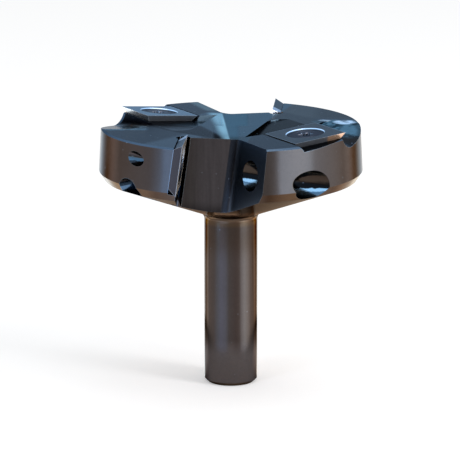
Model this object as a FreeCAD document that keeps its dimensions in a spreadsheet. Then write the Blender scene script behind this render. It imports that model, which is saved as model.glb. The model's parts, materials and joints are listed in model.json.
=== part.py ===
"""Fly cutter with two upright main knives and two flat-lying spur knives, in millimetres.

The origin is the centre of the shank's lower end and +Z runs up the axis to the knives. Everything above
the shank repeats after half a turn, so each recess is drawn once and patterned twice about the axis.
"""
import FreeCAD, Part
import math
import os
import Sketcher
from FreeCAD import Placement, Rotation, Vector

doc = FreeCAD.newDocument("fly_cutter")
sheet = doc.addObject("Spreadsheet::Sheet", "dimensions")

# Driving dimensions: lengths in mm, angles in degrees
DIMENSIONS = {
    "shank_diameter": 12.7,
    "shank_length": 41.4,
    "shank_chamfer": 0.8,
    "neck_fillet": 2.0,
    "under_angle": 20.5,
    "rim_radius": 31.4,
    "rim_bevel": 2.0,
    "rim_bevel_width": 1.3,
    "rim_height": 10.5,
    "rim_taper": 3.0,
    "rim_edge": 0.4,
    "dish_half_width": 8.7,
    "dish_depth": 0.35,
    "blade_lean": 8.0,
    "main_turn": 4.0,
    "main_length": 14.0,
    "main_height": 12.0,
    "main_tip_x": 11.05,
    "main_reach": 0.15,
    "main_rise": 0.85,
    "main_setback": 0.15,
    "main_thickness": 2.0,
    "spur_thickness": 1.45,
    "knife_bevel": 35.0,
    "knife_edge_play": 0.05,
    "relief_radius": 1.7,
    "notch_wall_gap": 0.05,
    "notch_corner_x": 1.7,
    "notch_open_angle": 24.6,
    "notch_fillet": 3.6,
    "access_diameter": 7.0,
    "spur_size": 13.7,
    "spur_inset": 9.28,
    "spur_azimuth": 141.63,
    "spur_rise": 0.75,
    "spur_yaw": 29.9,
    "spur_tilt": 5.5,
    "pocket_gap": 0.75,
    "pocket_tip_u": 12.4,
    "pocket_bend_u": 4.6,
    "pocket_bend_v": 23.0,
    "pocket_round": 4.0,
    "pocket_corner": 0.6,
    "lead_u": 8.4,
    "lead_v": 17.5,
    "scoop_start_y": 5.2,
    "scoop_slope": 8.5,
    "scoop_round": 4.0,
    "scoop_fillet": 4.2,
    "scoop_end_v": 11.5,
    "balance_hole_diameter": 7.2,
    "balance_hole_azimuth": 219.8,
    "balance_hole_height": 50.5,
    "balance_hole_depth": 7.4,
    "screw_diameter": 4.0,
    "screw_core": 3.4,
    "screw_engagement": 5.0,
    "screw_end_chamfer": 0.5,
    "screw_clearance": 4.6,
    "sink_diameter": 9.2,
    "head_recess": 0.3,
    "tap_extra": 0.5,
    "mouth_play": 0.1,
    "socket_diameter": 2.9,
    "socket_lobe": 0.95,
    "socket_depth": 1.5,
    "spur_tap_depth": 9.0,
}
for row, (alias, value) in enumerate(DIMENSIONS.items(), start=1):
    sheet.set(f"A{row}", alias)
    sheet.set(f"B{row}", str(value))
    sheet.setAlias(f"B{row}", alias)
doc.recompute()

REACH = 60.0  # longer than the head is wide, for cuts that run out of it
SKY = 6.0  # height above the top face from which the downward cuts start
OVERRUN = 1.0  # how far a turned cut runs past the faces that it leaves
LEAST_CUT = 0.5  # volume below which a cut is taken to have missed
X_AXIS, Y_AXIS, Z_AXIS = Vector(1, 0, 0), Vector(0, 1, 0), Vector(0, 0, 1)


def size(alias):
    """A dimension read from the sheet."""
    return float(sheet.get(alias))


def cell(alias):
    return f"dimensions.{alias}"


def tan_deg(angle):
    return math.tan(math.radians(angle))


# Heights that follow from the driving dimensions
shank_radius = size("shank_diameter") / 2
under_radius = size("rim_radius") - size("rim_bevel_width")
under_z = size("shank_length") + (under_radius - shank_radius) * tan_deg(size("under_angle"))
rim_z = under_z + size("rim_bevel")
top_z = rim_z + size("rim_height")
top_radius = size("rim_radius") - size("rim_height") * tan_deg(size("rim_taper"))

# The slanted frame of the notch: its z axis is the line along which both notch walls and the main knife lean
notch_rotation = Rotation(Y_AXIS, size("blade_lean"))
notch_frame = Placement(Vector(0, 0, top_z), notch_rotation)
main_turn = math.radians(size("main_turn"))
main_tip_y = math.sqrt((size("rim_radius") + size("main_reach")) ** 2 - size("main_tip_x") ** 2)
main_tip = Vector(-size("main_tip_x"), -main_tip_y, size("main_rise"))

# A main knife lies in its own XY plane, edges along X and Y, with its rake face up; this turns it upright
stand_up = Rotation(Vector(1, 1, 1), 120)
main_rotation = notch_rotation.multiply(Rotation(Z_AXIS, -size("main_turn"))).multiply(stand_up)
main_corner = main_tip + Vector(0, 0, top_z)
main_centre = main_corner + main_rotation.multVec(Vector(size("main_length") / 2, -size("main_height") / 2, 0))
main_frame = Placement(main_centre, main_rotation)

# A spur knife lies nearly flat: its x axis points to its trailing edge and its y axis to the rim
spur_rotation = Rotation(size("spur_yaw"), size("spur_tilt"), 0)
spur_level = Vector(size("rim_radius") - size("spur_inset"), 0, top_z + size("spur_rise"))
spur_centre = Rotation(Z_AXIS, size("spur_azimuth")).multVec(spur_level)
spur_frame = Placement(spur_centre, spur_rotation)
half_turn = Placement(Vector(0, 0, 0), Rotation(Z_AXIS, 180))


def origin_plane(body, role):
    return next(f for f in body.Origin.OriginFeatures if f.Role == role)


def add_sketch(body, name, role="XY_Plane", offset=None):
    """A sketch on one of the body's own origin planes, moved by offset within that plane's frame."""
    sketch = body.newObject("Sketcher::SketchObject", name)
    sketch.AttachmentSupport = [(origin_plane(body, role), "")]
    sketch.MapMode = "FlatFace"
    if offset is not None:
        sketch.AttachmentOffset = offset
    return sketch


def add_outline(sketch, corners):
    """Closed outline of (x, y, radius) corners; a corner with a radius is rounded by a tangent arc."""
    count = len(corners)
    starts, ends, arcs = [], [], []
    for i, (x, y, radius) in enumerate(corners):
        here = Vector(x, y, 0)
        before = (Vector(*corners[i - 1][:2], 0) - here).normalize()
        after = (Vector(*corners[(i + 1) % count][:2], 0) - here).normalize()
        if radius == 0:
            starts.append(here)
            ends.append(here)
            arcs.append(None)
            continue
        half = before.getAngle(after) / 2
        reach = radius / math.tan(half)
        centre = here + (before + after).normalize() * (radius / math.sin(half))
        starts.append(here + before * reach)
        ends.append(here + after * reach)
        middle = centre + (here - centre).normalize() * radius
        arcs.append(Part.Arc(starts[-1], middle, ends[-1]))
    for i in range(count):
        if arcs[i] is not None:
            sketch.addGeometry(arcs[i], False)
        sketch.addGeometry(Part.LineSegment(ends[i], starts[(i + 1) % count]), False)
    return sketch


def add_circle(sketch, x, y, diameter):
    """Circle whose diameter follows the named cell."""
    index = sketch.addGeometry(Part.Circle(Vector(x, y, 0), Z_AXIS, size(diameter) / 2), False)
    sketch.addConstraint(Sketcher.Constraint("Diameter", index, size(diameter)))
    sketch.setExpression(f"Constraints[{sketch.ConstraintCount - 1}]", cell(diameter))
    return sketch


def cut(body, name, sketch, length, upward=False):
    """Pocket below the sketch, or above it when upward; a pocket that removes nothing is an error."""
    doc.recompute()
    before = body.Shape.Volume
    pocket = body.newObject("PartDesign::Pocket", name)
    pocket.Profile = sketch
    pocket.Type = "Length"
    pocket.Reversed = upward
    if isinstance(length, str):
        pocket.setExpression("Length", length)
    else:
        pocket.Length = length
    doc.recompute()
    if body.Shape.Volume > before - LEAST_CUT:
        raise RuntimeError(f"{name} removes nothing")
    return pocket


def add_blank(body):
    """Turned blank: shank, sloping underside, bevelled and tapered rim."""
    chamfer = size("shank_chamfer")
    sketch = add_sketch(body, "turned_profile", "XZ_Plane")
    add_outline(sketch, [
        (0, 0, 0),
        (shank_radius - chamfer, 0, 0),
        (shank_radius, chamfer, 0),
        (shank_radius, size("shank_length"), size("neck_fillet")),
        (under_radius, under_z, 0),
        (size("rim_radius"), rim_z, 0),
        (top_radius, top_z - size("rim_edge"), 0),
        (top_radius - size("rim_edge"), top_z, 0),
        (0, top_z, 0),
    ])
    blank = body.newObject("PartDesign::Revolution", "turned_blank")
    blank.Profile = sketch
    blank.ReferenceAxis = (sketch, ["V_Axis"])
    blank.Angle = 360
    doc.recompute()


def add_dish(body):
    """Shallow valley across the middle of the top, where the two wings' top faces meet."""
    half = size("dish_half_width")
    sketch = add_sketch(body, "dish_profile", "XZ_Plane")
    add_outline(sketch, [(-half, top_z, 0), (0, top_z - size("dish_depth"), 0), (half, top_z, 0), (0, top_z + SKY, 0)])
    dish = cut(body, "dish", sketch, 2 * REACH)
    dish.Midplane = True
    doc.recompute()
    return dish


def slanted(height):
    """Frame of the notch sketches, raised along the slant."""
    return notch_frame.multiply(Placement(Vector(0, 0, height), Rotation()))


def main_point(along, out):
    """Point of a notch sketch, measured from the main knife's tip along its edge and out of its rake face."""
    slant = math.radians(size("blade_lean"))
    tip_x = main_tip.x * math.cos(slant) - main_tip.z * math.sin(slant)
    return (tip_x + along * math.sin(main_turn) + out * math.cos(main_turn),
            main_tip.y + along * math.cos(main_turn) - out * math.sin(main_turn))


def add_notch(body):
    """Notch in front of a main knife: straight through the head, its walls leaning with the knife."""
    wall_y = size("main_length") + size("notch_wall_gap") - main_tip_y
    corner_x = size("notch_corner_x")
    opening = math.radians(size("notch_open_angle"))
    inner = main_point(size("main_length"), -size("main_setback"))
    outer = main_point(-size("main_length"), -size("main_setback"))
    sketch = add_sketch(body, "notch_outline", offset=slanted(SKY))
    add_outline(sketch, [
        (*outer, 0),
        (*inner, 0),
        (inner[0] + size("relief_radius"), wall_y, 0),
        (corner_x, wall_y, size("notch_fillet")),
        (corner_x + REACH * math.sin(opening), wall_y - REACH * math.cos(opening), 0),
    ])
    return cut(body, "notch", sketch, 2 * REACH)


def add_relief(body):
    """Round relief down the inner end of the main knife's seat."""
    sketch = add_sketch(body, "relief_outline", offset=slanted(SKY))
    x, y = main_point(size("main_length"), size("main_setback") - size("main_thickness") / 2)
    index = sketch.addGeometry(Part.Circle(Vector(x, y, 0), Z_AXIS, size("relief_radius")), False)
    sketch.addConstraint(Sketcher.Constraint("Radius", index, size("relief_radius")))
    sketch.setExpression("Constraints[0]", cell("relief_radius"))
    return cut(body, "relief", sketch, 2 * REACH)


def add_main_seat(body):
    """Seat of a main knife: a flat with a ledge under the knife's lower edge."""
    thickness = size("main_thickness")
    sketch = add_sketch(body, "main_seat_outline", offset=slanted(SKY))
    add_outline(sketch, [
        (*main_point(-size("main_length"), -thickness), 0),
        (*main_point(size("main_length"), -thickness), 0),
        (*main_point(size("main_length"), size("main_setback")), 0),
        (*main_point(-size("main_length"), size("main_setback")), 0),
    ])
    slant = math.radians(size("blade_lean"))
    tip_height = main_tip.x * math.sin(slant) + main_tip.z * math.cos(slant)
    depth = SKY - tip_height + size("main_height") + size("knife_edge_play")
    return cut(body, "main_seat", sketch, depth)


def on_main_axis(distance):
    """Frame on the main screw's axis, distance out of the knife's rake face."""
    return main_frame.multiply(Placement(Vector(0, 0, distance), Rotation()))


def on_spur_axis(distance):
    return spur_frame.multiply(Placement(Vector(0, 0, distance), Rotation()))


def add_bore(body, name, frame, diameter, length, upward=False):
    """Round hole whose diameter follows the named cell, from the frame's XY plane."""
    sketch = add_sketch(body, f"{name}_circle", offset=frame)
    add_circle(sketch, 0, 0, diameter)
    return cut(body, name, sketch, length, upward)


def add_mouth(body, name, frame, thickness):
    """Flare at the mouth of a tapped hole, which clears the screw's head below a knife of that thickness."""
    radius = size("screw_diameter") / 2
    flare = size("sink_diameter") / 2 - size(thickness) - radius + size("mouth_play")
    sketch = add_sketch(body, f"{name}_profile", offset=frame.multiply(Placement(Vector(), Rotation(X_AXIS, 90))))
    add_outline(sketch, [(0, 0, 0), (radius + flare, 0, 0), (radius, -flare, 0), (0, -flare, 0)])
    groove = body.newObject("PartDesign::Groove", name)
    groove.Profile = sketch
    groove.ReferenceAxis = (sketch, ["V_Axis"])
    groove.Angle = 360
    doc.recompute()
    return groove


def pocket_foot():
    """Distance from a spur knife's axis to the foot of the wall behind it."""
    undercut = size("spur_thickness") * tan_deg(size("knife_bevel"))
    return size("spur_size") / 2 - undercut + size("pocket_gap")


def add_pocket_flank(body):
    """Sloping wall behind a spur knife, side by side with the knife's bevel."""
    half, floor, foot = size("spur_size") / 2, -size("spur_thickness"), pocket_foot()
    lean = SKY * tan_deg(size("knife_bevel"))
    turn = Placement(Vector(0, -half, 0), Rotation(X_AXIS, 90))
    sketch = add_sketch(body, "pocket_flank_section", offset=spur_frame.multiply(turn))
    add_outline(sketch, [(0, floor, 0), (foot, floor, 0), (foot + lean, floor + SKY, 0), (0, floor + SKY, 0)])
    return cut(body, "pocket_flank", sketch, REACH / 2)


def add_spur_pocket(body):
    """Pocket of a spur knife: a tilted floor that runs out into the top face ahead of the knife."""
    half = size("spur_size") / 2
    wall_u = pocket_foot()
    frame = on_spur_axis(-size("spur_thickness"))
    sketch = add_sketch(body, "spur_pocket_outline", offset=frame)
    add_outline(sketch, [
        (wall_u, REACH / 2, 0),
        (wall_u, -half, size("pocket_corner")),
        (size("pocket_tip_u"), -half, 0),
        (-size("pocket_bend_u"), -size("pocket_bend_v"), size("pocket_round")),
        (-size("lead_u"), -size("lead_v"), size("pocket_round") / 2),
        (-size("lead_u"), REACH / 2, 0),
    ])
    return cut(body, "spur_pocket", sketch, SKY, upward=True)


def add_scoop(body):
    """Chip scoop ahead of a spur knife: a ramp that falls towards the knife's leading edge."""
    half = size("spur_size") / 2
    undercut = size("spur_thickness") * tan_deg(size("knife_bevel"))
    edge_u = -half + undercut
    floor_u = edge_u - size("scoop_fillet")
    start = Placement(Vector(0, -size("scoop_start_y"), top_z), Rotation(X_AXIS, -size("scoop_slope")))
    flat = start.inverse()

    def ramp_point(u, v):
        point = flat.multVec(spur_frame.multVec(Vector(u, v, 0)))
        return point.x, point.y

    outer, inner = ramp_point(floor_u, REACH / 2), ramp_point(floor_u, -REACH / 2)
    share = outer[1] / (outer[1] - inner[1])
    apex = outer[0] + share * (inner[0] - outer[0])
    sketch = add_sketch(body, "scoop_outline", offset=start)
    add_outline(sketch, [(*outer, 0), (apex, 0, size("scoop_round")), (-REACH, 0, 0), (-REACH, outer[1], 0)])
    return cut(body, "scoop", sketch, 2 * SKY, upward=True)


def add_scoop_wall(body):
    """Concave wall under the spur knife's leading edge, running down into the scoop's ramp."""
    half = size("spur_size") / 2
    edge_u = -half + size("spur_thickness") * tan_deg(size("knife_bevel"))
    radius = size("scoop_fillet")
    ramp_normal = Rotation(X_AXIS, -size("scoop_slope")).multVec(Z_AXIS)
    edge_line = spur_frame.Rotation.multVec(Y_AXIS)
    along = (edge_line - ramp_normal * edge_line.dot(ramp_normal)).normalize()
    across = along.cross(ramp_normal)
    rotation = Rotation(across, ramp_normal, -along, "XYZ")
    base = spur_frame.multVec(Vector(edge_u, -size("scoop_end_v"), 0))
    drop = (base - Vector(0, -size("scoop_start_y"), top_z)).dot(ramp_normal)
    frame = Placement(base - ramp_normal * drop, rotation)
    sketch = add_sketch(body, "scoop_wall_section", offset=frame)
    side = 1 if across.dot(spur_frame.Rotation.multVec(X_AXIS)) < 0 else -1
    add_outline(sketch, [(0, 0, radius), (side * 2 * radius, 0, 0), (side * 2 * radius, SKY, 0), (0, SKY, 0)])
    return cut(body, "scoop_wall", sketch, REACH / 2)


def add_balance_hole(body):
    """Blind hole from the rim, half open to the sloping underside, for a spanner or for balance."""
    turn = Rotation(Z_AXIS, size("balance_hole_azimuth"))
    end = Vector(size("rim_radius") - size("balance_hole_depth"), 0, size("balance_hole_height"))
    frame = Placement(turn.multVec(end), turn.multiply(Rotation(Y_AXIS, 90)))
    return add_bore(body, "balance_hole", frame, "balance_hole_diameter", REACH / 2, upward=True)


def add_cutter_body():
    """Shank and head, one piece of steel, with both wings' recesses and holes."""
    body = doc.addObject("PartDesign::Body", "cutter_body")
    add_blank(body)
    add_dish(body)
    main_seat = on_main_axis(-size("main_thickness"))
    spur_seat = on_spur_axis(-size("spur_thickness"))
    tap_length = size("screw_engagement") + size("tap_extra")
    recesses = [
        add_notch(body),
        add_main_seat(body),
        add_relief(body),
        add_spur_pocket(body),
        add_pocket_flank(body),
        add_scoop(body),
        add_scoop_wall(body),
        add_bore(body, "main_tap", main_seat, "screw_diameter", tap_length),
        add_bore(body, "main_tap_core", main_seat, "screw_core", REACH / 2),
        add_mouth(body, "main_tap_mouth", main_seat, "main_thickness"),
        add_bore(body, "access_hole", on_main_axis(SKY), "access_diameter", REACH / 2, upward=True),
        add_bore(body, "spur_tap", spur_seat, "screw_diameter", size("spur_tap_depth")),
        add_mouth(body, "spur_tap_mouth", spur_seat, "spur_thickness"),
        add_balance_hole(body),
    ]
    before = body.Shape.Volume
    pattern = body.newObject("PartDesign::PolarPattern", "both_wings")
    pattern.Originals = recesses
    pattern.Axis = (origin_plane(body, "Z_Axis"), [""])
    pattern.Angle = 360
    pattern.Occurrences = 2
    body.Tip = pattern
    doc.recompute()
    if body.Shape.Volume > before - LEAST_CUT:
        raise RuntimeError("the second wing is not cut")
    return body


def add_knife(name, length, width, thickness, placement):
    """Indexable knife: four bevelled sides below a flat rake face, with a countersunk screw hole."""
    body = doc.addObject("PartDesign::Body", name)
    half_length, half_width, plate = size(length) / 2, size(width) / 2, size(thickness)
    outline = add_sketch(body, f"{name}_outline")
    add_outline(outline, [(x * half_length, y * half_width, 0) for x, y in ((-1, -1), (1, -1), (1, 1), (-1, 1))])
    blank = body.newObject("PartDesign::Pad", f"{name}_plate")
    blank.Profile = outline
    blank.Reversed = True
    blank.setExpression("Length", cell(thickness))
    blank.setExpression("TaperAngle", "-" + cell("knife_bevel"))
    doc.recompute()
    sink = size("sink_diameter") / 2
    sink_depth = min(plate, sink - size("screw_clearance") / 2)
    throat = sink - sink_depth
    profile = add_sketch(body, f"{name}_sink_profile", "XZ_Plane")
    add_outline(profile, [(0, OVERRUN, 0), (sink, OVERRUN, 0), (sink, 0, 0), (throat, -sink_depth, 0),
                          (throat, -plate - OVERRUN, 0), (0, -plate - OVERRUN, 0)])
    groove = body.newObject("PartDesign::Groove", f"{name}_screw_hole")
    groove.Profile = profile
    groove.ReferenceAxis = (profile, ["V_Axis"])
    groove.Angle = 360
    doc.recompute()
    body.Placement = placement
    return body


def add_screw(name, thickness, placement):
    """Countersunk screw with a six-lobed socket; its head's top lies just below the knife's rake face."""
    body = doc.addObject("PartDesign::Body", name)
    recess = size("head_recess")
    head = size("sink_diameter") / 2 - recess
    radius = size("screw_diameter") / 2
    bottom = -size(thickness) - size("screw_engagement")
    chamfer = size("screw_end_chamfer")
    profile = add_sketch(body, f"{name}_profile", "XZ_Plane")
    add_outline(profile, [(0, -recess, 0), (head, -recess, 0), (radius, -recess - (head - radius), 0),
                          (radius, bottom + chamfer, 0), (radius - chamfer, bottom, 0), (0, bottom, 0)])
    turned = body.newObject("PartDesign::Revolution", f"{name}_turned")
    turned.Profile = profile
    turned.ReferenceAxis = (profile, ["V_Axis"])
    turned.Angle = 360
    doc.recompute()
    depth = size("socket_depth") + recess
    core = add_sketch(body, f"{name}_socket_circle")
    add_circle(core, 0, 0, "socket_diameter")
    cut(body, f"{name}_socket", core, depth)
    lobe_circle = add_sketch(body, f"{name}_lobe_circle")
    add_circle(lobe_circle, size("socket_diameter") / 2, 0, "socket_lobe")
    lobe = cut(body, f"{name}_lobe", lobe_circle, depth)
    lobes = body.newObject("PartDesign::PolarPattern", f"{name}_lobes")
    lobes.Originals = [lobe]
    lobes.Axis = (origin_plane(body, "Z_Axis"), [""])
    lobes.Angle = 360
    lobes.Occurrences = 6
    body.Tip = lobes
    doc.recompute()
    body.Placement = placement
    return body


pieces = [add_cutter_body()]
for number, wing in enumerate((Placement(), half_turn), start=1):
    main_place = wing.multiply(main_frame)
    spur_place = wing.multiply(spur_frame)
    pieces.append(add_knife(f"main_knife_{number}", "main_length", "main_height", "main_thickness", main_place))
    pieces.append(add_knife(f"spur_knife_{number}", "spur_size", "spur_size", "spur_thickness", spur_place))
    pieces.append(add_screw(f"main_knife_screw_{number}", "main_thickness", main_place))
    pieces.append(add_screw(f"spur_knife_screw_{number}", "spur_thickness", spur_place))
doc.recompute()

for item in doc.Objects:
    if {"Invalid", "Error"} & set(item.State):
        raise RuntimeError(f"{item.Name} failed to build")
for piece in pieces:
    if piece.Shape.isNull() or not piece.Shape.isValid() or len(piece.Shape.Solids) != 1:
        raise RuntimeError(f"{piece.Name} is not one valid solid")

os.makedirs("parts", exist_ok=True)
for piece in pieces:
    piece.Label = piece.Name
    piece.Shape.exportStep(f"parts/{piece.Label}.step")
    box = piece.Shape.BoundBox
    print(f"{piece.Label}: volume {piece.Shape.Volume:.1f}, z {box.ZMin:.2f} to {box.ZMax:.2f}")
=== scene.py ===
"""Finishes, screws, studio and camera for the fly cutter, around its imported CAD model."""
import json
import math

import bpy
from bpy.props import FloatProperty, FloatVectorProperty, IntProperty, PointerProperty
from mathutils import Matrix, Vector

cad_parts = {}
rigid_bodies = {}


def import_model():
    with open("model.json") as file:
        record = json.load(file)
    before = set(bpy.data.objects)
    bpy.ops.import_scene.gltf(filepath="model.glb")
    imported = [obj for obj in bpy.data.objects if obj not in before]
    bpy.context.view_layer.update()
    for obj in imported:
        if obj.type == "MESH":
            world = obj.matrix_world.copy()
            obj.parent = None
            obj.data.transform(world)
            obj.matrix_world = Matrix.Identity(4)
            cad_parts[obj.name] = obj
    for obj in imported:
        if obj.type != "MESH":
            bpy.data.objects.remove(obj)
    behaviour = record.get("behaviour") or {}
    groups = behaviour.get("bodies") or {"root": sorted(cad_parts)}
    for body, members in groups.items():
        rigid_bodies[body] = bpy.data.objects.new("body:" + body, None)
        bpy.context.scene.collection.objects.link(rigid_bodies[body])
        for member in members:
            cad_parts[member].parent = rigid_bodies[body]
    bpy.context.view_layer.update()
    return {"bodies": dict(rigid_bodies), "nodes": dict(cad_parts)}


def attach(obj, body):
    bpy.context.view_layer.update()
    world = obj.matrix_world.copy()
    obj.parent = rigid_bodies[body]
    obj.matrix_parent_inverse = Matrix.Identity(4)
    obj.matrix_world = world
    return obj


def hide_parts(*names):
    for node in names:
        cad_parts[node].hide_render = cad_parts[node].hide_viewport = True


bl_info = {
    "name": "Fly cutter",
    "version": (1, 0, 0),
    "blender": (4, 5, 0),
    "location": "3D View > Sidebar > Fly cutter",
    "description": "Dresses the fly cutter in blackened steel, ground carbide and screw steel",
    "category": "Object",
}

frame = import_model()
NODES = frame["nodes"]
BODY = next(iter(frame["bodies"]))
MM = 0.001

# Screw axes of the wing at the left, in millimetres: a point on each knife's rake face and the way out of it.
# The other wing's lie half a turn round.
MAIN_SCREW = ((-11.401, -22.569, 57.620), (0.9879, -0.0698, -0.1388))
SPUR_SCREW = ((-17.342, 13.731, 63.530), (0.0831, 0.0478, 0.9954))
# The axis that both blind holes in the rim share
BALANCE_AXIS = ((0.0, 0.0, 50.5), (-0.7683, -0.6401, 0.0))
ACCESS_RADIUS, TAP_CORE_RADIUS, BALANCE_RADIUS = 3.5, 1.7, 3.6  # driver, tapped and blind holes
HEAD_FOOT = 43.0  # height above which there is only the head
# The spur tip is where a warm painted reflection lies on the spur knives.
SPUR_TIP = (-24.5, 17.4, 63.5)  # the tan corner of the left wing's spur knife
OXIDE_TINT = (0.36, 0.36, 0.36, 1.0)
SOCKET_RADIUS = 1.65  # within it, a screw's section waves with the socket's lobes


class Wire:
    """A socket in a node tree. Arithmetic on it adds Math nodes."""

    def __init__(self, tree, socket):
        self.tree = tree
        self.socket = socket

    def math(self, operation, *values):
        return self.tree.node("ShaderNodeMath", {"operation": operation}, dict(enumerate(values)))

    def __add__(self, other):
        return self.math("ADD", self, other)

    def __sub__(self, other):
        return self.math("SUBTRACT", self, other)

    def __rsub__(self, other):
        return self.math("SUBTRACT", other, self)

    def __mul__(self, other):
        return self.math("MULTIPLY", self, other)

    def __truediv__(self, other):
        return self.math("DIVIDE", self, other)

    def __neg__(self):
        return self.math("MULTIPLY", self, -1.0)

    def __abs__(self):
        return self.math("ABSOLUTE", self)

    __radd__, __rmul__ = __add__, __mul__

    def root(self):
        return self.math("SQRT", self)

    def sine(self):
        return self.math("SINE", self)

    def cosine(self):
        return self.math("COSINE", self)

    def sign(self):
        return self.math("SIGN", self)

    def nearest(self):
        return self.math("ROUND", self)

    def below(self, limit):
        return self.math("LESS_THAN", self, limit)

    def larger(self, other):
        return self.math("MAXIMUM", self, other)

    def angle_from(self, other):
        return self.math("ARCTAN2", self, other)

    def rise(self, low, high):
        """0 below low and 1 above high, with a smooth step between them. Low may be the larger."""
        if low > high:
            return 1 - self.rise(high, low)
        values = {"Value": self, "From Min": low, "From Max": high}
        return self.tree.node("ShaderNodeMapRange", {"interpolation_type": "SMOOTHSTEP"}, values)

    def band(self, centre, half_width, soft):
        """1 within half_width of centre, fading to 0 over soft."""
        return abs(self - centre).rise(half_width + soft, half_width)


class Tree:
    """A node tree under construction."""

    def __init__(self, tree):
        self.tree = tree

    def join(self, value, socket):
        if isinstance(value, Wire):
            self.tree.links.new(value.socket, socket)
        else:
            socket.default_value = value

    def node(self, kind, settings=None, values=None, output=0):
        """A node of that kind, its settings made first and then its sockets, as the Wire of one output."""
        made = self.tree.nodes.new(kind)
        for name, setting in (settings or {}).items():
            setattr(made, name, setting)
        for key, value in (values or {}).items():
            self.join(value, made.inputs[key])
        return Wire(self, made.outputs[output])

    def vector(self, operation, *values, output=0, **named):
        inputs = dict(enumerate(values)) | named
        return self.node("ShaderNodeVectorMath", {"operation": operation}, inputs, output)

    def split(self, vector):
        apart = self.node("ShaderNodeSeparateXYZ", values={0: vector}).socket.node
        return [Wire(self, socket) for socket in apart.outputs]

    def together(self, x, y, z):
        return self.node("ShaderNodeCombineXYZ", values={0: x, 1: y, 2: z})


class Finish(Tree):
    """A material under construction, whose Principled shader is self.shader."""

    def __init__(self, name, **shader_values):
        self.material = bpy.data.materials.new(name)
        self.material.use_nodes = True
        super().__init__(self.material.node_tree)
        self.shader = self.tree.nodes["Principled BSDF"]
        for socket, value in shader_values.items():
            self.shader.inputs[socket.replace("_", " ")].default_value = value

    def feed(self, **wires):
        for socket, value in wires.items():
            self.join(value, self.shader.inputs[socket.replace("_", " ")])
        return self.material

    def millimetres(self):
        """Object coordinates in millimetres."""
        place = self.node("ShaderNodeTexCoord", output="Object")
        return self.vector("SCALE", place, Scale=1 / MM)

    def facing(self):
        """The surface's own normal in the object's frame."""
        return self.node("ShaderNodeTexCoord", output="Normal")

    def dot(self, one, other):
        return self.vector("DOT_PRODUCT", one, other, output="Value")

    def noise(self, place, scale, detail=3.0, roughness=0.55):
        values = {"Vector": place, "Scale": scale, "Detail": detail, "Roughness": roughness}
        return self.node("ShaderNodeTexNoise", values=values)

    def mix(self, factor, one, other):
        """Colours, one where the factor is 0 and other where it is 1."""
        values = {0: factor, 6: four(one), 7: four(other)}
        return self.node("ShaderNodeMix", {"data_type": "RGBA"}, values, output=2)

    def shade(self, colour, amount):
        """The colour times a number that varies."""
        values = {0: 1.0, 6: four(colour), 7: self.together(amount, amount, amount)}
        return self.node("ShaderNodeMix", {"data_type": "RGBA", "blend_type": "MULTIPLY"}, values, output=2)

    def bump(self, height, distance):
        """A normal bent by height, whose 1 stands distance high, in millimetres."""
        values = {"Height": height, "Distance": distance * MM, "Strength": 1.0}
        return self.node("ShaderNodeBump", values=values)

    def edge(self, radius):
        """How sharply the surface turns within radius, in millimetres: 0 on a plain face."""
        rounded = self.node("ShaderNodeBevel", {"samples": 8}, {"Radius": radius * MM})
        true = self.node("ShaderNodeNewGeometry", output="Normal")
        return 1 - self.dot(rounded, true)

    def left_of(self, x, y, start, end, soft):
        """1 at the left of the line from start to end and 0 at its right, with a step soft wide each way."""
        (x1, y1), (x2, y2) = start, end
        length = math.hypot(x2 - x1, y2 - y1)
        across = (y - y1) * ((x2 - x1) / length) - (x - x1) * ((y2 - y1) / length)
        return across.rise(-soft, soft)

    def right_of(self, x, y, start, end, soft):
        return self.left_of(x, y, end, start, soft)

    def spot(self, x, y, centre, radii):
        """1 at the centre of an oval, fading to 0 at its edge."""
        across, along = (x - centre[0]) / radii[0], (y - centre[1]) / radii[1]
        return (across * across + along * along).rise(1.0, 0.25)

    def on_left_wing(self, place, x):
        """The place, turned half round the cutter's axis where it lies on the right wing."""
        side = (-x).sign()
        return self.vector("MULTIPLY", place, self.together(side, side, 1.0))

    def around_axis(self, place, axis):
        """Distance from an axis, and the length along it."""
        point, direction = axis
        arm = self.vector("SUBTRACT", place, point)
        along = self.dot(arm, direction)
        return (self.dot(arm, arm) - along * along).larger(0.0).root(), along


def four(colour):
    return colour if isinstance(colour, Wire) else (*colour[:3], 1.0)


def colour_property(name, description, value):
    return FloatVectorProperty(
        name=name, description=description, default=value, subtype="COLOR", size=3, min=0, max=1)


class BodySettings(bpy.types.PropertyGroup):
    """The blackened steel of the head and shank."""

    side: colour_property("Turned sides", "Oxide on the rim and shank", (0.050, 0.040, 0.0355))
    top: colour_property("Milled top", "Oxide on faces that look up", (0.065, 0.068, 0.073))
    # The underside colour is a warm painted reflection on faces that look down.
    under: colour_property("Underside", "Oxide on faces that look down", (0.140, 0.084, 0.050))
    # The dish colour is a painted highlight along the bottom of the dish.
    painted_streak: colour_property("Dish", "Bright steel along the bottom of the dish", (0.620, 0.860, 0.860))
    worn: colour_property("Worn edge", "Steel that shows along the edges", (0.200, 0.250, 0.290))
    edge_width: FloatProperty(
        name="Edge width", description="Width of the worn edges, in millimetres", default=0.22, min=0)
    turning_pitch: FloatProperty(
        name="Turning pitch", description="Feed of the lathe marks on rim and shank, in millimetres",
        default=0.16, min=0.01)


class KnifeSettings(bpy.types.PropertyGroup):
    """The ground carbide of the knives."""

    # The face colour's blue is a painted cool reflection.
    face: colour_property("Face", "Ground face of a knife", (0.180, 0.245, 0.290))
    # The flank colour is painted paler, standing in for light under the cutting edges.
    flank: colour_property("Flank", "Ground relief under the cutting edges", (0.230, 0.240, 0.260))
    # The ring colour is a painted highlight on the mouth of the screw hole.
    ring: colour_property("Ring", "Polished mouth of the screw hole", (0.850, 0.900, 0.950))


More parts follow.
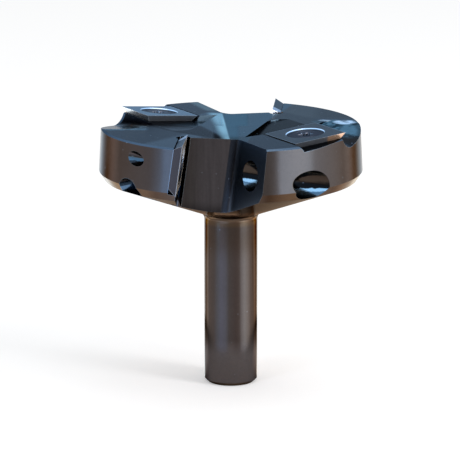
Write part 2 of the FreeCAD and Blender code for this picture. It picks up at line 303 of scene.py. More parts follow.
class ScrewSettings(bpy.types.PropertyGroup):
    """The countersunk screws."""

    head: colour_property("Head", "Blackened head", (0.085, 0.078, 0.085))
    lobes: IntProperty(name="Lobes", description="Lobes of the socket", default=6, min=3, max=8)
    lobe_depth: FloatProperty(
        name="Lobe depth", description="Share of the socket's radius by which it waves", default=0.19,
        min=0, max=0.3)
    segments: IntProperty(name="Segments", description="Facets round a screw", default=72, min=24)


class StageSettings(bpy.types.PropertyGroup):
    """Floor, world, lamps and camera."""

    floor: colour_property("Floor", "Colour of the floor", (0.93, 0.93, 0.93))
    level: FloatProperty(name="Level", description="Light that the world gives", default=0.55, min=0)
    strip: FloatProperty(name="Strip", description="Power of the right strip lamp", default=2.2, min=0)


# Lines across the top between which its painted reflection tones lie, each by its two ends, in millimetres
CREASE = (-2.1, 16.1), (-0.2, -17.0)
STREAK_EDGE = (-5.3, 16.1), (-1.5, -17.0)
WEDGE_EDGE = (-8.3, 1.5), (-0.7, -16.6)
FIELD_EDGE = (-8.4, 11.7), (-4.6, 18.1)
KNIFE_FIELD_EDGE = (-16.4, -18.2), (-10.7, -11.1)
FAR_SIDE_FRONT = (3.3, -14.0), (7.4, -0.2)
FAR_SIDE_BACK = (7.4, -0.2), (10.7, 16.1)
HOLLOW_LEFT = (7.5, 7.3), (13.1, 16.1)
HOLLOW_RIGHT = (20.9, 6.0), (13.1, 16.1)
BACK_EDGE_LEFT = (-9.5, 27.0), (-5.8, 18.0)
BACK_EDGE_RIGHT = (-6.9, 28.2), (-3.2, 18.9)
# The circle inside which the wedge and one of the fields lie
BOW_CENTRE, BOW_RADIUS = (16.0, 22.0, 0.0), 42.15


def painted_top_reflections(f, s, x, y, top):
    """Painted reflections on the top, placed as they lie in the photograph: pale dish, dark wedge and bluer
    fields.
    """
    beyond_crease = f.left_of(x, y, *CREASE, 0.25)
    from_bow = f.vector("SUBTRACT", f.together(x, y, 0.0), BOW_CENTRE)
    inside_bow = f.dot(from_bow, from_bow).root().rise(BOW_RADIUS + 0.45, BOW_RADIUS - 0.45)
    before_wedge = f.right_of(x, y, *WEDGE_EDGE, 0.9) * y.rise(2.6, 0.6)
    by_knife = f.right_of(x, y, *KNIFE_FIELD_EDGE, 1.3) * (1 - inside_bow) * x.rise(-6.0, -8.0)
    wedge = inside_bow * before_wedge
    field = inside_bow * (1 - before_wedge) * f.right_of(x, y, *FIELD_EDGE, 0.5)
    field = field * (1 - beyond_crease) * y.rise(19.0, 17.0)
    painted_streak = f.left_of(x, y, *STREAK_EDGE, 1.1) * (1 - beyond_crease) * y.rise(17.0, 14.5)
    painted_streak_tone = f.shade(s.painted_streak, 1.0 - y.rise(7.0, -1.0) * 0.33 - y.rise(-4.0, -12.0) * 0.12)
    far_side = f.right_of(x, y, *FAR_SIDE_FRONT, 0.5) * f.right_of(x, y, *FAR_SIDE_BACK, 0.5)
    plain_right = beyond_crease * (1 - far_side)
    front_right = plain_right * y.rise(-11.0, -15.0)
    hollow = far_side * f.right_of(x, y, *HOLLOW_LEFT, 0.5) * y.rise(-10.0, -7.0)
    hollow = hollow * f.left_of(x, y, *HOLLOW_RIGHT, 0.7)
    back_edge = f.left_of(x, y, *BACK_EDGE_LEFT, 0.8) * (1 - f.left_of(x, y, *BACK_EDGE_RIGHT, 0.8))
    back_edge = back_edge * y.rise(17.5, 19.5)
    behind = x.rise(10.0, 13.0) * y.rise(7.0, 10.0)
    far_right = behind * x.rise(18.5, 23.0)
    # Each field's mask and tone, all painted reflections: the wedge dark, the streak a pale painted
    # highlight.
    fields = (
        (by_knife, (0.132, 0.153, 0.167)),
        (behind, (0.115, 0.108, 0.098)),
        (field, (0.120, 0.150, 0.165)),
        (wedge, (0.012, 0.009, 0.009)),
        (plain_right, (0.106, 0.167, 0.193)),
        (far_right, (0.065, 0.060, 0.055)),
        (hollow, (0.078, 0.074, 0.070)),
        (front_right, (0.070, 0.102, 0.112)),
        (back_edge, (0.240, 0.280, 0.260)),
        (painted_streak, painted_streak_tone),
    )
    for mask, tone in fields:
        top = f.mix(mask, top, tone)
    return top


def scoop_painted_reflections(f, x, y, place, colour):
    """Painted reflections in the chip scoops: mottled alike on both wings, with painted shade towards the
    knife and by the rim, and on the right one a pale painted reflection near the rim and painted glints.
    """
    side = x.sign()
    out, along = x * side, y * side
    inside = out.rise(18.5, 21.5) * along.rise(6.9, 6.2) * along.rise(-13.5, -9.0)
    spots = f.noise(place, 0.45, 3.0, 0.6)
    glints = f.spot(x, y, (22.3, 5.4), (1.9, 1.2)).larger(f.spot(x, y, (27.2, 4.2), (3.2, 1.9)))
    lit = glints * (0.35 + spots.rise(0.38, 0.56) * 0.65)
    painted_deep_shade = along.rise(-3.0, -8.0).larger(out.rise(28.8, 30.3) * 0.5)
    painted_rim_reflection = f.spot(x, y, (27.8, -1.5), (2.6, 3.4)) * 0.8
    tone = f.mix(spots.rise(0.40, 0.60), (0.060, 0.085, 0.095), (0.180, 0.270, 0.300))
    tone = f.mix(painted_deep_shade, tone, (0.070, 0.060, 0.055))
    tone = f.mix(painted_rim_reflection, tone, (0.210, 0.310, 0.340))
    tone = f.mix(lit, tone, (1.0, 1.0, 1.0))
    return f.mix(inside, colour, tone)


def bore_painted_reflections(f, x, nz, place, colour):
    """The colour with painted reflections inside the holes, and the share of edge wear: none round driver and
    tapped holes.

    The driver holes are painted tan above and dark below, with one pale painted line of light low down; the
    tapped holes have a pale painted band and the blind holes a tan painted roof.
    """
    wing_place = f.on_left_wing(place, x)
    tap_line, tap_length = f.around_axis(wing_place, MAIN_SCREW)
    balance_line, _ = f.around_axis(wing_place, BALANCE_AXIS)
    other_place = f.vector("MULTIPLY", wing_place, (-1.0, -1.0, 1.0))
    access_line, access_length = f.around_axis(other_place, MAIN_SCREW)
    rough = f.noise(place, 0.9, 3.0) - 0.5
    in_access = access_line.rise(ACCESS_RADIUS + 0.08, ACCESS_RADIUS + 0.02) * access_length.rise(8.0, 9.0)
    height = nz + rough * 0.16 - (30.0 - access_length) * 0.04 * access_length.rise(20.0, 23.0)
    floor_tone = f.mix(height.rise(0.60, 0.95), (0.130, 0.200, 0.250), (0.060, 0.070, 0.080))
    tone = f.mix(height.rise(-0.10, 0.12), (0.044, 0.032, 0.024), (0.010, 0.009, 0.009))
    tone = f.mix(height.rise(0.52, 0.60), tone, floor_tone)
    tone = f.mix(height.band(0.48, 0.06, 0.06), tone, (0.520, 0.660, 0.710))
    colour = f.mix(in_access, colour, tone)
    in_tap = tap_line.rise(TAP_CORE_RADIUS + 0.02, TAP_CORE_RADIUS - 0.02) * tap_length.rise(-1.5, -2.5)
    pale = (nz + rough * 0.5).band(0.22, 0.16, 0.12)
    colour = f.mix(in_tap, colour, f.mix(pale, (0.016, 0.012, 0.010), (0.125, 0.195, 0.240)))
    in_balance = balance_line.rise(BALANCE_RADIUS + 0.08, BALANCE_RADIUS + 0.02)
    below_roof = (nz + rough * 0.2).rise(-0.75, -0.55)
    colour = f.mix(in_balance, colour, f.mix(below_roof, (0.110, 0.086, 0.076), (0.030, 0.050, 0.078)))
    by_mouth = tap_line.rise(2.6, 2.2).larger(access_line.rise(4.6, 4.1))
    return colour, 1 - by_mouth


# Level directions across the notch's slanting wall, the groove by the main knife and the pocket's wall
NOTCH_WALL_WAY, GROOVE_WAY, POCKET_WALL_WAY = (0.90, 0.43), (0.80, 0.58), (0.49, -0.87)


def lies_along(nx, ny, way):
    """How far a normal lies along a level direction, either way round."""
    return abs(nx * way[0] + ny * way[1])


def wall_tones(f, x, y, z, nx, ny, radius, side):
    """Tones of the notches' and pockets' walls, among them a tan painted reflection in the groove, painted
    shade in the corner and a blue painted reflection on the pocket's wall, and where dull walls, grooves and
    pocket walls lie.
    """
    on_head = z.rise(HEAD_FOOT, HEAD_FOOT + 1.0)
    not_rim = ((nx * x + ny * y) / radius).rise(0.9, 0.7)
    wing_x = x * -y.sign()  # x of the front notch, and of the back one turned half round
    notch_wall = lies_along(nx, ny, NOTCH_WALL_WAY).rise(0.80, 0.95) * not_rim * on_head
    notch_wall = notch_wall * wing_x.rise(-2.0, -1.0)
    side = f.mix(notch_wall, side, (0.056, 0.067, 0.084))
    groove = lies_along(nx, ny, GROOVE_WAY).rise(0.75, 0.90) * not_rim * on_head
    groove = groove * wing_x.rise(-7.5, -8.5) * wing_x.rise(-14.5, -13.5)
    # A tan painted reflection in the groove by the main knife.
    side = f.mix(groove, side, (0.360, 0.260, 0.190))
    cross_wall = abs(ny).rise(0.97, 0.99) * abs(y).rise(17.0, 16.0) * on_head
    brushed = f.noise(f.together(x * 0.9, 0.0, z * 0.06), 1.0, 2.0)
    cross_tone = f.mix(wing_x.rise(-10.5, -5.5), (0.034, 0.029, 0.027), (0.049, 0.043, 0.044))
    cross_tone = f.shade(cross_tone, (0.70 + brushed * 0.6) * (0.4 + z.rise(44.5, 48.0) * 0.6))
    side = f.mix(cross_wall, side, cross_tone)
    corner = wing_x.rise(-4.5, -3.5) * wing_x.rise(2.5, 1.0) * (1 - cross_wall) * on_head
    corner = corner * (1 - notch_wall) * radius.rise(19.5, 18.5)
    # Painted shade in the corner of the notch.
    side = f.mix(corner, side, (0.018, 0.018, 0.020))
    pocket_wall = lies_along(nx, ny, POCKET_WALL_WAY).rise(0.93, 0.98)
    pocket_wall = pocket_wall * z.rise(59.5, 60.5) * radius.rise(17.0, 16.0)
    # A blue painted reflection on the pocket's wall.
    side = f.mix(pocket_wall, side, (0.330, 0.500, 0.660))
    return side, notch_wall.larger(groove).larger(corner), groove, pocket_wall


def underside_painted_reflection(f, s, x, z, radius, on_shank):
    """Faces that look down: a warm painted reflection, painted paler near the neck, with other painted
    reflection tones on the bevel and the neck's fillet.
    """
    # Painted paler near the neck, standing in for reflected light.
    under = f.shade(s.under, 1.0 + radius.rise(17.0, 8.0) * 5.5)
    bevel = f.mix(x.rise(6.5, 9.0), (0.078, 0.052, 0.038), (0.043, 0.024, 0.014))
    bevel = f.mix(x.rise(14.0, 22.0), bevel, (0.087, 0.069, 0.060))
    bevel = f.mix(x.rise(-17.0, -20.0), bevel, (0.119, 0.081, 0.057))
    under = f.mix(radius.rise(28.0, 28.6), under, bevel)
    return f.mix(z.rise(42.3, 41.7) * on_shank, under, (0.125, 0.085, 0.060))


def black_oxide(s):
    """Blackened steel, painted cooler on top and warmer below as reflections, with painted shade and
    highlights on walls, scoops and holes, tool marks, worn edges and dust.
    """
    f = Finish("black_oxide", Specular_Tint=OXIDE_TINT)
    place = f.millimetres()
    x, y, z = f.split(place)
    nx, ny, nz = f.split(f.facing())
    radius = (x * x + y * y).root()
    clouds = f.noise(place, 0.11, 3.0)
    fine = f.noise(place, 1.7, 4.0)
    up, down = nz.rise(0.90, 0.97), nz.rise(-0.12, -0.50)
    on_shank = radius.rise(10.0, 8.0)
    # Shank tones by height: darker and warmer high up, a tan painted reflection at the neck, and paler at the
    # lower end, painted to stand in for reflected light.
    side = f.mix(z.rise(30.0, 36.0) * on_shank, s.side, (0.042, 0.031, 0.025))
    side = f.mix(z.rise(12.0, 6.5) * on_shank, side, (0.108, 0.092, 0.090))
    side = f.mix(z.rise(38.8, 39.8) * on_shank, side, (0.056, 0.037, 0.024))
    side, dull, groove, pocket_wall = wall_tones(f, x, y, z, nx, ny, radius, side)
    # Faces that slope up: painted shade on the inner walls and a painted highlight on the rim's chamfer.
    slope_shade_and_highlight = f.mix(radius.rise(29.8, 30.1), (0.030, 0.029, 0.030), (0.110, 0.130, 0.150))
    colour = f.mix(nz.rise(0.25, 0.45), side, slope_shade_and_highlight)
    colour = f.mix(up, colour, scoop_painted_reflections(f, x, y, place, painted_top_reflections(f, s, x, y, s.top)))
    colour = f.mix(down, colour, underside_painted_reflection(f, s, x, z, radius, on_shank))
    colour, edge_share = bore_painted_reflections(f, x, nz, place, colour)
    colour = f.shade(colour, 0.74 + clouds * 0.30 + fine * 0.22)
    worn = f.edge(s.edge_width).rise(0.03, 0.22) * (0.35 + fine * 0.9) * z.rise(1.0, 3.0) * edge_share
    colour = f.mix(worn * 0.6, colour, s.worn)
    specks = f.node("ShaderNodeTexVoronoi", {"feature": "F1"}, {"Vector": place, "Scale": 0.55})
    chance = f.noise(place, 0.35, 0.0)
    dust = specks.rise(0.11, 0.04) * chance.rise(0.50, 0.60) * nz.rise(-0.2, 0.5)
    colour = f.mix(dust * 0.45, colour, (0.45, 0.52, 0.60))
    turned = abs(nz).rise(0.6, 0.3)
    lathe = f.noise(f.together(0.0, radius * 0.25, z / s.turning_pitch), 1.0, 2.0)
    milled = f.noise(f.together(x * 0.35 + y * 0.2, y * 3.2 - x * 1.9, z * 0.2), 1.0, 2.0)
    marks = lathe * turned + milled * (1 - turned)
    plain = 0.07 + (1 - turned) * 0.08 + dull * 0.26
    roughness = plain + clouds * 0.04 + marks * 0.06 + dust * 0.3
    normal = f.bump(marks * 0.7 + fine * 0.4, 0.006)
    # Less metal where the groove and pocket wall are painted, so their painted colour shows.
    metal = 1 - groove * 0.6 - pocket_wall * 0.5
    return f.feed(Base_Color=colour, Metallic=metal, Roughness=roughness, Normal=normal)


def ground_carbide(s):
    """Ground carbide: blue-grey faces, a painted cool reflection, greyer flanks painted paler below, fine
    grinding lines, a painted highlight ring at the hole, and painted reflections and glints on rake faces,
    tips and ends.
    """
    f = Finish("ground_carbide", Specular_Tint=(0.42, 0.42, 0.42, 1.0))
    place = f.millimetres()
    x, y, z = f.split(place)
    nx, ny, nz = f.split(f.facing())
    wing_place = f.on_left_wing(place, x)
    spur_radius, _ = f.around_axis(wing_place, SPUR_SCREW)
    main_radius, _ = f.around_axis(wing_place, MAIN_SCREW)
    upright = z.rise(62.0, 61.0).larger(spur_radius.rise(11.0, 12.0))
    wing_end = (y * x.sign()).rise(19.6, 18.8)
    clouds = f.noise(place, 0.2, 2.0)
    lines = f.noise(f.together(x * 0.4, y * 5.0, z * 5.0), 1.0, 2.0)
    flat = nz.rise(0.90, 0.97)
    below = nz.rise(-0.15, -0.35)
    rake = abs(nx).rise(0.90, 0.96) * upright
    colour = f.mix(nz.rise(0.4, 0.7), (0.050, 0.046, 0.050), (0.090, 0.094, 0.100))
    # Flanks that look down are painted paler, standing in for light under the cutting edges, with less metal
    # so it shows.
    colour = f.mix(below, colour, s.flank)
    # Faces take the painted cool reflection; the right wing's take a greyer painted reflection.
    colour = f.mix(flat, colour, s.face)
    colour = f.mix(flat * x.rise(0.0, 2.0), colour, (0.122, 0.118, 0.116))
    # Rake faces take a tan painted reflection.
    colour = f.mix(rake, colour, (0.290, 0.245, 0.200))
    colour = f.shade(colour, 0.70 + clouds * 0.35 + (lines - 0.5) * (1 - rake * 0.8) * 0.25 + 0.125)
    # A warm painted reflection on the spur knives' outer tips.
    tip = f.vector("DISTANCE", wing_place, SPUR_TIP, output="Value").rise(2.7, 1.9)
    colour = f.mix(tip * below, colour, (0.620, 0.400, 0.270))
    # A painted glint on the knives' upright ends near the wing's end.
    end = upright * wing_end * z.rise(62.2, 62.8)
    colour = f.mix(end, colour, (0.75, 0.75, 0.80))
    # A painted highlight ring: the spur screws' countersink cone, and the upper half of the ring round the
    # main screws' holes.
    cone = spur_radius.band(4.56, 0.12, 0.05) * (1 - flat) * (1 - upright)
    cone = cone.larger(main_radius.band(4.3, 0.35, 0.1) * upright * z.rise(57.0, 58.5))
    colour = f.mix(cone, colour, s.ring)
    # Worn edges, partly wear and partly a painted highlight, which is stronger on the left wing's knives.
    worn = f.edge(0.30).rise(0.02, 0.14) * (1 - cone) * (1 - upright * 0.65) * x.rise(2.0, 0.0).larger(0.35)
    colour = f.mix(worn * 0.9, colour, (0.95, 0.97, 1.00))
    metal = 1 - below * 0.45 - rake * 0.8
    normal = f.bump(lines, 0.003)
    return f.feed(Base_Color=colour, Metallic=metal, Roughness=0.18 + lines * 0.12, Normal=normal)


def screw_steel(s):
    """Blackened screws with turned rings on the head, which follow the section's own radius."""
    f = Finish("screw_steel", Metallic=1.0, Specular_Tint=OXIDE_TINT)
    place = f.millimetres()
    radius = f.node("ShaderNodeAttribute", {"attribute_name": "section_radius"}, output="Fac") / MM
    depth = f.node("ShaderNodeAttribute", {"attribute_name": "section_height"}, output="Fac") / MM
    fine = f.noise(place, 2.2, 3.0)
    rings = f.noise(f.together(radius * 3.5, 0.0, 0.0), 1.0, 2.0)
    worn = f.edge(0.10).rise(0.03, 0.2)
    colour = f.shade(s.head, 0.5 + fine * 0.6 + rings * 0.5)
    colour = f.mix(worn * 0.6, colour, (0.30, 0.36, 0.44))
    # Painted highlights flecked in the socket, and painted shade deep in it.
    colour = f.mix(radius.rise(1.9, 1.6) * fine.rise(0.5, 0.62) * 0.5, colour, (0.24, 0.30, 0.36))
    colour = f.mix(depth.rise(-0.7, -1.4) * 0.7, colour, (0.012, 0.014, 0.018))
    normal = f.bump(rings * 0.7 + fine * 0.3, 0.012)
    return f.feed(Base_Color=colour, Roughness=0.24 + rings * 0.16, Normal=normal)


def dress(objects, material):
    for piece in objects:
        piece.data.materials.clear()
        piece.data.materials.append(material)


class FLYCUTTER_OT_body(bpy.types.Operator):
    """Gives the head and shank their blackened steel."""

    bl_idname = "flycutter.body"
    bl_label = "Head and shank"

    def execute(self, context):
        dress([NODES["cutter_body"]], black_oxide(context.scene.flycutter_body))
        return {"FINISHED"}


class FLYCUTTER_OT_knives(bpy.types.Operator):
    """Gives the four knives their ground carbide."""

    bl_idname = "flycutter.knives"
    bl_label = "Knives"

    def execute(self, context):
        knives = [NODES[n] for n in NODES if "knife_" in n and "screw" not in n]
        if len(knives) != 4:
            raise RuntimeError("the frame has no four knives")
        dress(knives, ground_carbide(context.scene.flycutter_knife))
        return {"FINISHED"}


def screw_section():
    """Half of a screw's section as (radius, height) in millimetres, from the socket's floor to the end.

    Heights are measured from the knife's rake face. The head, cone and shank have the CAD screw's sizes.
    """
    recess, head, shank, end = -0.30, 4.30, 2.00, -6.45
    socket = [(0.0, -1.98), (0.9, -1.90), (1.22, -1.74), (1.46, -0.55), (1.50, -0.42), (1.60, recess)]
    face = [(2.2, recess), (2.95, recess), (3.02, recess - 0.05), (3.12, recess - 0.05), (3.19, recess)]
    edge = [(head - 0.14, recess), (head - 0.07, recess - 0.03), (head - 0.07, recess - 0.07)]
    cone = [(shank, recess - (head - shank))]
    thread, pitch, root, chamfer = [], 0.7, shank - 0.30, 0.5
    height = cone[0][1] - 0.15
    while height - pitch > end + chamfer:
        thread += [(shank, height), (root, height - 0.30), (root, height - 0.40),
                   (shank, height - pitch + 0.05)]
        height -= pitch
    tail = [(shank, end + chamfer), (shank - chamfer, end), (0.0, end)]
    return socket + face + edge + cone + thread + tail


class Works(Tree):
    """A Geometry Nodes tree under construction, with named inputs."""

    def __init__(self, name):
        super().__init__(bpy.data.node_groups.new(name, "GeometryNodeTree"))
        self.keys = {}
        self.tree.interface.new_socket(name="Geometry", in_out="INPUT", socket_type="NodeSocketGeometry")
        self.tree.interface.new_socket(name="Geometry", in_out="OUTPUT", socket_type="NodeSocketGeometry")
        self.start = self.tree.nodes.new("NodeGroupInput")

    def ask(self, name, kind):
        """A named input, as a Wire."""
        item = self.tree.interface.new_socket(name=name, in_out="INPUT", socket_type=kind)
        self.keys[name] = item.identifier
        return Wire(self, self.start.outputs[name])

    def given(self):
        return Wire(self, self.start.outputs["Geometry"])

    def finish(self, geometry):
        self.join(geometry, self.tree.nodes.new("NodeGroupOutput").inputs["Geometry"])

    def apply(self, piece, **values):
        """Runs the tree on the piece and gives the plain mesh that comes out."""
        modifier = piece.modifiers.new(self.tree.name, "NODES")
        modifier.node_group = self.tree
        for name, value in values.items():
            modifier[self.keys[name.replace("_", " ")]] = value
        graph = bpy.context.evaluated_depsgraph_get()
        mesh = bpy.data.meshes.new_from_object(piece.evaluated_get(graph))
        piece.modifiers.remove(modifier)
        return mesh


def screw_works():
    """Turns the section into a screw with a lobed socket, and sets one on every seat."""
    w = Works("countersunk screws")
    section = w.ask("Section", "NodeSocketObject")
    rows = w.ask("Section points", "NodeSocketInt")
    segments = w.ask("Segments", "NodeSocketInt")
    lobes = w.ask("Lobes", "NodeSocketInt")
    lobe_depth = w.ask("Lobe depth", "NodeSocketFloat")
    socket_radius = w.ask("Socket radius", "NodeSocketFloat")
    material = w.ask("Material", "NodeSocketMaterial")
    sheet = {"Size X": 1.0, "Size Y": 1.0, "Vertices X": segments + 1.0, "Vertices Y": rows}
    sheet = w.node("GeometryNodeMeshGrid", values=sheet, output="Mesh")
    place = w.node("GeometryNodeInputPosition")
    across, down, _ = w.split(place)
    row = ((down + 0.5) * (rows - 1.0)).nearest()
    outline = w.node("GeometryNodeObjectInfo", values={"Object": section}, output="Geometry")
    sample = {"Geometry": outline, "Value": place, "Index": row}
    sample = w.node("GeometryNodeSampleIndex", {"data_type": "FLOAT_VECTOR"}, sample)
    radius, _, height = w.split(sample)
    turn = (across + 0.5) * -math.tau
    lobed = radius * (1.0 + (turn * lobes).cosine() * lobe_depth * radius.below(socket_radius))
    target = w.together(lobed * turn.cosine(), lobed * turn.sine(), height)
    for name, value in (("section_radius", radius), ("section_height", height)):
        values = {"Geometry": sheet, "Name": name, "Value": value}
        sheet = w.node("GeometryNodeStoreNamedAttribute", values=values)
    screw = w.node("GeometryNodeSetPosition", values={"Geometry": sheet, "Position": target})
    screw = w.node("GeometryNodeMergeByDistance", values={"Geometry": screw, "Distance": 0.001 * MM})
    turns = {"Name": "seat_turn"}
    turns = w.node("GeometryNodeInputNamedAttribute", {"data_type": "FLOAT_VECTOR"}, turns, "Attribute")
    turns = w.node("FunctionNodeEulerToRotation", values={0: turns})
    seats = {"Points": w.given(), "Instance": screw, "Rotation": turns}
    seats = w.node("GeometryNodeInstanceOnPoints", values=seats)
    solid = w.node("GeometryNodeRealizeInstances", values={"Geometry": seats})
    w.finish(w.node("GeometryNodeSetMaterial", values={"Geometry": solid, "Material": material}))
    return w


def new_mesh_object(name, points, edges=()):
    mesh = bpy.data.meshes.new(name)
    mesh.from_pydata(points, list(edges), [])
    piece = bpy.data.objects.new(name, mesh)
    bpy.context.scene.collection.objects.link(piece)
    return piece


def screw_seats():
    """Every seat's point and the turn that lays a screw along its axis, in metres and radians."""
    seats = []
    for point, direction in (MAIN_SCREW, SPUR_SCREW):
        for side in (1, -1):
            place = Vector((point[0] * side, point[1] * side, point[2])) * MM
            out = Vector((direction[0] * side, direction[1] * side, direction[2]))
            seats.append((place, out.to_track_quat("Z", "Y").to_euler()))
    return seats


class FLYCUTTER_OT_screws(bpy.types.Operator):
    """Sets the four countersunk screws, with lobed sockets, turned faces and threads."""

    bl_idname = "flycutter.screws"
    bl_label = "Screws"

    def execute(self, context):
        s = context.scene.flycutter_screw
        names = sorted(n for n in NODES if "screw" in n)
        if len(names) != 4:
            raise RuntimeError("the frame has no four screws")
        section = [(radius * MM, 0.0, height * MM) for radius, height in screw_section()]
        outline = new_mesh_object("screw_section", section, [(i, i + 1) for i in range(len(section) - 1)])
        seats = screw_seats()
        screws = new_mesh_object("screws", [place for place, _ in seats])
        turns = screws.data.attributes.new("seat_turn", "FLOAT_VECTOR", "POINT")
        for item, (_, turn) in zip(turns.data, seats):
            item.vector = turn
        material = screw_steel(s)
        mesh = screw_works().apply(
            screws, Section=outline, Section_points=len(section), Segments=s.segments, Lobes=s.lobes,
            Lobe_depth=s.lobe_depth, Socket_radius=SOCKET_RADIUS * MM, Material=material)
        mesh.set_sharp_from_angle(angle=math.radians(32))
        screws.data = mesh
        bpy.data.objects.remove(outline)
        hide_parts(*names)
        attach(screws, BODY)
        return {"FINISHED"}


def seen_rays(f):
    """1 for the rays that show a background: camera, glossy and transmission rays."""
    paths = f.node("ShaderNodeLightPath").socket.node
    camera, glossy, through = (Wire(f, paths.outputs[n]) for n in
                               ("Is Camera Ray", "Is Glossy Ray", "Is Transmission Ray"))
    return camera.larger(glossy).larger(through), glossy


def make_world(level):
    """A white surround for what is seen, cool where steel shows it, and a plain level of light."""
    world = bpy.data.worlds.new("studio")
    bpy.context.scene.world = world
    world.use_nodes = True
    tree = Tree(world.node_tree)
    seen, glossy = seen_rays(tree)
    strength = tree.node("ShaderNodeMapRange", values={"Value": seen, "To Min": level, "To Max": 1.0})
    tint = {0: glossy, 6: (1, 1, 1, 1), 7: (*COOL_WALL, 1)}
    tint = tree.node("ShaderNodeMix", {"data_type": "RGBA"}, tint, output=2)
    back = world.node_tree.nodes["Background"]
    tree.join(tint, back.inputs["Color"])
    tree.join(strength, back.inputs["Strength"])


# What polished sides see of the floor: degrees round it from the camera's side, and the card's colour there
CARDS = (
    (-180, (0.05, 0.04, 0.03)), (-164, (0.50, 0.45, 0.40)), (-150, (1.80, 2.20, 2.60)),
    (-138, (3.60, 4.40, 5.30)), (-122, (3.40, 3.30, 3.40)), (-110, (0.80, 0.74, 0.74)),
    (-72, (0.50, 0.56, 0.74)), (-62, (0.75, 1.30, 2.25)), (-58, (1.25, 2.60, 5.00)),
    (-52, (1.25, 2.60, 5.00)), (-46, (0.80, 1.15, 1.80)), (-34, (0.70, 0.92, 1.35)),
    (-27, (0.10, 0.10, 0.12)), (33, (0.10, 0.10, 0.12)), (39, (0.60, 0.75, 1.00)),
    (42, (2.80, 3.90, 5.30)), (70, (2.65, 3.75, 5.00)), (76, (1.25, 1.65, 2.15)),
    (112, (1.60, 1.55, 1.50)), (124, (4.90, 5.40, 5.80)), (140, (5.20, 5.90, 6.00)),
    (150, (2.00, 2.20, 2.40)), (162, (0.60, 0.52, 0.44)), (180, (0.05, 0.04, 0.03)),
)
# The same for what the shank sees, nearer to it
NEAR_CARDS = (
    (-180, (0.05, 0.04, 0.03)), (-162, (0.30, 0.26, 0.22)), (-150, (4.80, 5.10, 5.10)),
    (-122, (5.10, 5.60, 5.60)), (-108, (1.20, 1.12, 1.10)), (-92, (0.66, 0.62, 0.62)),
    (-76, (0.56, 0.54, 0.60)), (-56, (0.70, 1.05, 1.60)), (-42, (0.95, 1.35, 2.30)),
    (-22, (0.80, 1.15, 1.85)), (-8, (0.36, 0.40, 0.50)), (22, (0.24, 0.14, 0.16)),
    (36, (0.50, 0.42, 0.44)), (46, (1.90, 2.10, 2.40)), (60, (2.95, 3.40, 3.80)),
    (76, (2.50, 2.60, 2.70)), (94, (1.20, 0.95, 0.80)), (112, (1.45, 1.20, 0.95)),
    (126, (6.00, 5.40, 4.50)), (150, (4.80, 4.30, 3.50)), (162, (0.30, 0.26, 0.20)),
    (180, (0.05, 0.04, 0.03)),
)
CARD_LEVEL = 6.0  # emission of the floor where a card's colour is 1
PLAIN_GLOW = 0.29  # emission of the floor that the camera sees
FRONT_GLOW = 0.9  # emission of the soft spot in front of the shank
COOL_WALL = (0.62, 0.95, 1.40)
WARM_FLOOR = (0.330, 0.205, 0.125)
FLOOR_FACETS = 96


def card_ramp(f, share, cards):
    """The cards' colours round the floor, for glossy rays."""
    ramp = f.node("ShaderNodeValToRGB", values={"Fac": share})
    stops = ramp.socket.node.color_ramp.elements
    while len(stops) > 1:
        stops.remove(stops[-1])
    for number, (degrees, colour) in enumerate(cards):
        stop = stops[0] if number == 0 else stops.new(degrees / 360 + 0.5)
        stop.position = degrees / 360 + 0.5
        stop.color = (*(value / CARD_LEVEL for value in colour), 1.0)
    return ramp


def card_mask(f, reach, forward):
    """Where on the floor the cards lie, and how strongly.

    The head's bevel sees a ring of the floor that is wider behind than in front, and no card lies there.
    """
    ring = 22.0
    beyond = (reach - forward.rise(0.6, -0.95) * ring).rise(36.0, 48.0)
    within = (reach - forward.rise(-0.20, -0.60) * ring).rise(34.0, 26.0) * forward.rise(-0.05, -0.30)
    return beyond.larger(within * 0.35)


def make_floor(colour, radius):
    """A round pale floor at the shank's end, which keeps the object's shadow. Glossy rays see cards on it."""
    turns = [math.tau * a / FLOOR_FACETS for a in range(FLOOR_FACETS)]
    rim = [(radius * math.cos(turn), radius * math.sin(turn), 0) for turn in turns]
    mesh = bpy.data.meshes.new("floor")
    mesh.from_pydata(rim, [], [range(FLOOR_FACETS)])
    floor = bpy.data.objects.new("floor", mesh)
    bpy.context.scene.collection.objects.link(floor)
    f = Finish("floor", Roughness=0.9, Specular_IOR_Level=0.0)
    seen, glossy = seen_rays(f)
    x, y, _ = f.split(f.millimetres())
    reach = (x * x + y * y).root()
    share = x.angle_from(-y) * (1 / math.tau) + 0.5
    forward = -y / reach
    card = card_mask(f, reach, forward)
    cards = f.mix(reach.rise(165.0, 205.0), card_ramp(f, share, NEAR_CARDS), card_ramp(f, share, CARDS))
    dimmer = reach.rise(135.0, 165.0) * reach.rise(205.0, 165.0) * forward.rise(-0.35, 0.0)
    cards = f.mix(dimmer, cards, f.shade(cards, 0.72))
    front = f.spot(x, y, (0.0, -62.0), (45.0, 26.0)) * (FRONT_GLOW / CARD_LEVEL) * (1 - card)
    shown = f.vector("ADD", f.shade(cards, card), f.together(front, front, front))
    plain = seen * (1 - glossy) * (PLAIN_GLOW / CARD_LEVEL)
    warm = glossy * y.rise(20.0, 40.0) * reach.rise(190.0, 130.0)
    f.feed(Base_Color=f.mix(warm, colour, WARM_FLOOR),
           Emission_Color=f.vector("ADD", f.shade(shown, glossy), f.together(plain, plain, plain)),
           Emission_Strength=CARD_LEVEL)
    mesh.materials.append(f.material)


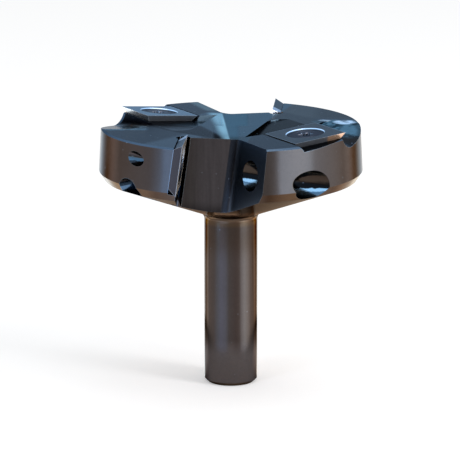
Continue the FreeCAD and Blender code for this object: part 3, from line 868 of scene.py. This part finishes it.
def add_lamp(name, place, aim, width, height, power, colour):
    """A soft rectangular lamp at place, turned to aim."""
    lamp = bpy.data.lights.new(name, "AREA")
    lamp.shape, lamp.size, lamp.size_y = "RECTANGLE", width, height
    lamp.energy, lamp.color = power, colour
    holder = bpy.data.objects.new(name, lamp)
    holder.location = place
    holder.rotation_euler = (Vector(aim) - Vector(place)).to_track_quat("-Z", "Y").to_euler()
    bpy.context.scene.collection.objects.link(holder)


def around(azimuth, distance, height):
    """A point that far from the axis; azimuth 0 is the camera's side and 90 is its right."""
    turn = math.radians(azimuth)
    return (distance * math.sin(turn), -distance * math.cos(turn), height)


def make_camera():
    """The photograph's viewpoint."""
    view = bpy.data.cameras.new("camera")
    view.lens, view.sensor_width = 246.4, 36.0
    view.clip_start, view.clip_end = 0.05, 20.0
    camera = bpy.data.objects.new("camera", view)
    camera.location = (-0.0002, -0.7341, 0.2073)
    camera.rotation_euler = (math.radians(76.95), 0, 0)
    bpy.context.scene.collection.objects.link(camera)
    bpy.context.scene.camera = camera


class FLYCUTTER_OT_stage(bpy.types.Operator):
    """Sets up the pale floor, the soft lamps, the world and the camera."""

    bl_idname = "flycutter.stage"
    bl_label = "Stage"

    def execute(self, context):
        s = context.scene.flycutter_stage
        scene = context.scene
        scene.view_settings.view_transform = "Standard"
        make_camera()
        make_world(s.level)
        make_floor(s.floor, 4.0)
        middle = (0, 0, 0.04)
        add_lamp("overhead", (0.1, 0.15, 1.1), middle, 0.9, 0.9, 2.2, (0.93, 0.97, 1.0))
        add_lamp("right_strip", around(60, 0.62, 0.36), middle, 0.17, 0.70, s.strip, (1.0, 0.99, 1.0))
        add_lamp("left_window", around(-42, 0.70, 0.36), middle, 0.16, 0.70, 0.9, (0.72, 0.84, 1.0))
        return {"FINISHED"}


class FLYCUTTER_PT_panel(bpy.types.Panel):
    """Lists the steps and their settings."""

    bl_idname = "FLYCUTTER_PT_panel"
    bl_label = "Fly cutter"
    bl_space_type = "VIEW_3D"
    bl_region_type = "UI"
    bl_category = "Fly cutter"

    def draw(self, context):
        for step, group in zip(STEPS, GROUPS):
            column = self.layout.column()
            column.operator(step.bl_idname)
            settings = getattr(context.scene, group)
            for name in settings.__annotations__:
                column.prop(settings, name)


STEPS = (FLYCUTTER_OT_stage, FLYCUTTER_OT_body, FLYCUTTER_OT_knives, FLYCUTTER_OT_screws)
GROUPS = {
    "flycutter_stage": StageSettings,
    "flycutter_body": BodySettings,
    "flycutter_knife": KnifeSettings,
    "flycutter_screw": ScrewSettings,
}


def register():
    for group, kind in GROUPS.items():
        bpy.utils.register_class(kind)
        setattr(bpy.types.Scene, group, PointerProperty(type=kind))
    for kind in (*STEPS, FLYCUTTER_PT_panel):
        bpy.utils.register_class(kind)


def unregister():
    for kind in reversed((*STEPS, FLYCUTTER_PT_panel)):
        bpy.utils.unregister_class(kind)
    for group, kind in GROUPS.items():
        delattr(bpy.types.Scene, group)
        bpy.utils.unregister_class(kind)


def main():
    register()
    for step in STEPS:
        area, name = step.bl_idname.split(".")
        getattr(getattr(bpy.ops, area), name)()


if __name__ == "__main__":
    main()
